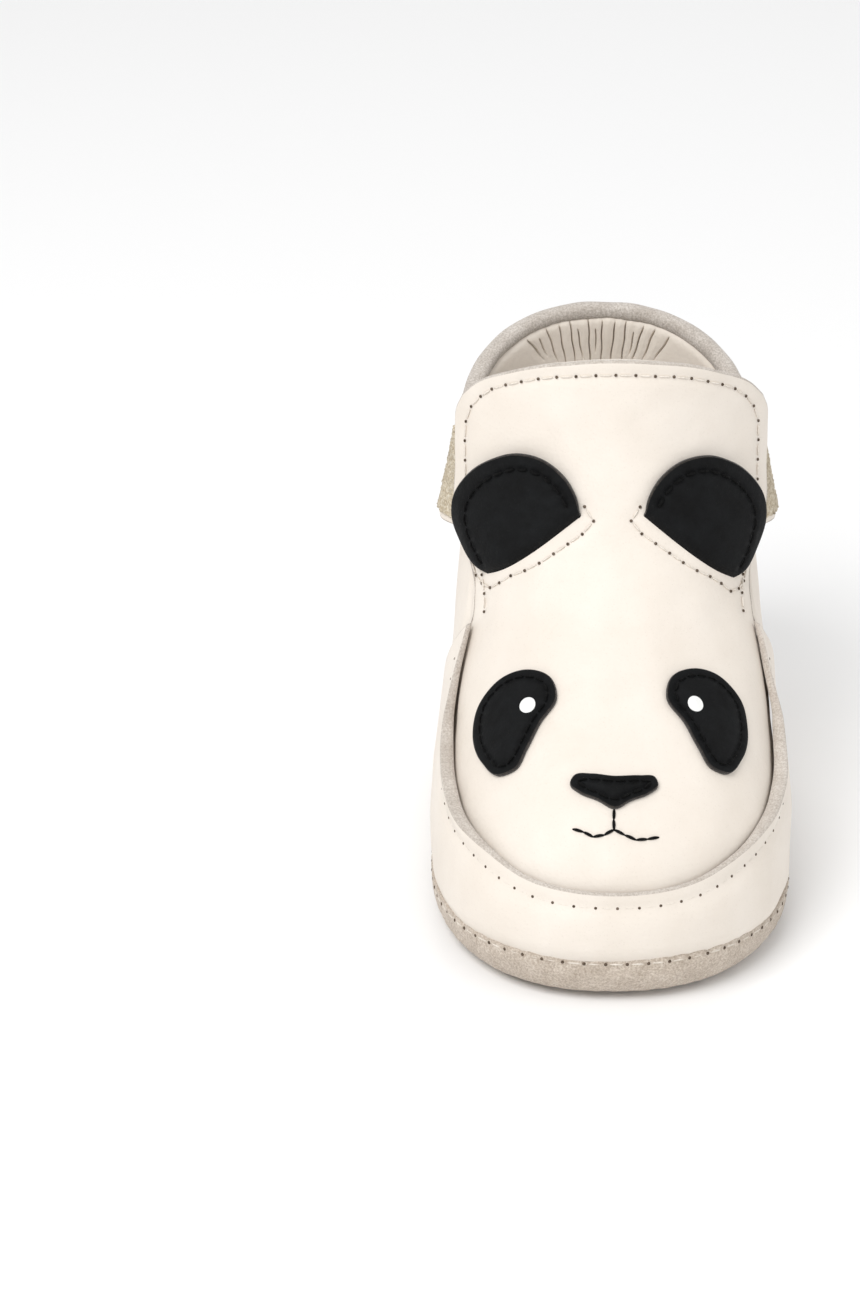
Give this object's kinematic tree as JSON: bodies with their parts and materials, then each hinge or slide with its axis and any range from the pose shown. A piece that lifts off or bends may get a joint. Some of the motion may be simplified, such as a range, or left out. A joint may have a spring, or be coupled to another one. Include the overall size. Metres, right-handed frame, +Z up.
{
  "type": "baby bootie",
  "caption": "Soft leather baby bootie with a panda face on the toe, ears on its tall folding tongue, two hook-and-loop ankle straps and an elastic heel.",
  "frame": {"origin": "centre of the bounding box in plan, at the underside of the sole", "axes": "+Z up, toe towards -Y, heel towards +Y, outer (lateral) side of the left foot towards +X"},
  "size_m": [0.0637, 0.1264, 0.0917],
  "materials": {
    "sole_suede": "matte suede, pale taupe",
    "foam": "soft foam",
    "insole_fabric": "brushed cotton",
    "band_suede": "leather with a raw suede edge",
    "cream_leather": "soft grained leather, satin",
    "lining_leather": "thin smooth lining leather",
    "elastic": "knitted elastic",
    "collar_suede": "rolled suede",
    "black_nubuck": "matte nubuck",
    "white_leather": "smooth",
    "black_thread": "twisted polyester",
    "cream_thread": "twisted polyester",
    "hook_tape": "moulded hooks",
    "loop_tape": "brushed loops"
  },
  "bodies": {
    "foot": {"outsole": "sole_suede", "midsole_pad": "foam", "insole": "insole_fabric", "toe_band": "band_suede", "vamp": "cream_leather", "vamp_lining": "lining_leather", "quarter": "cream_leather", "quarter_lining": "lining_leather", "ankle_elastic": "elastic", "collar_binding": "collar_suede", "medial_eye_patch": "black_nubuck", "lateral_eye_patch": "black_nubuck", "medial_eye_highlight": "white_leather", "lateral_eye_highlight": "white_leather", "nose_patch": "black_nubuck", "face_stitching": "black_thread", "mouth_stitching": "black_thread", "band_stitching": "cream_thread", "sole_stitching": "cream_thread"},
    "tongue_flap": {"tongue": "cream_leather", "tongue_lining": "lining_leather", "medial_hook_tape": "hook_tape", "lateral_hook_tape": "hook_tape", "medial_ear": "black_nubuck", "lateral_ear": "black_nubuck", "ear_stitching": "black_thread", "slit_stitching": "cream_thread", "tongue_edge_stitching": "cream_thread"},
    "lateral_ankle_strap": {"lateral_strap": "cream_leather", "lateral_loop_tape": "loop_tape"},
    "medial_ankle_strap": {"medial_strap": "cream_leather", "medial_loop_tape": "loop_tape"}
  },
  "joints": [
    {"name": "tongue_flex", "type": "hinge", "parent": "foot", "child": "tongue_flap", "pos_m": [0, -0.0247, 0.05], "axis": [1, 0, 0], "range_deg": [0, 80]},
    {"name": "lateral_strap_swing", "type": "hinge", "parent": "foot", "child": "lateral_ankle_strap", "pos_m": [0.0258, 0.0232, 0.063], "axis": [0, 0, 1], "range_deg": [0, 40]},
    {"name": "medial_strap_swing", "type": "hinge", "parent": "foot", "child": "medial_ankle_strap", "pos_m": [-0.0258, 0.0232, 0.063], "axis": [0, 0, -1], "range_deg": [0, 40]}
  ],
  "couplings": [
    {"joint": "lateral_strap_swing", "follows": "tongue_flex", "ratio": 0.5},
    {"joint": "medial_strap_swing", "follows": "tongue_flex", "ratio": 0.5}
  ]
}
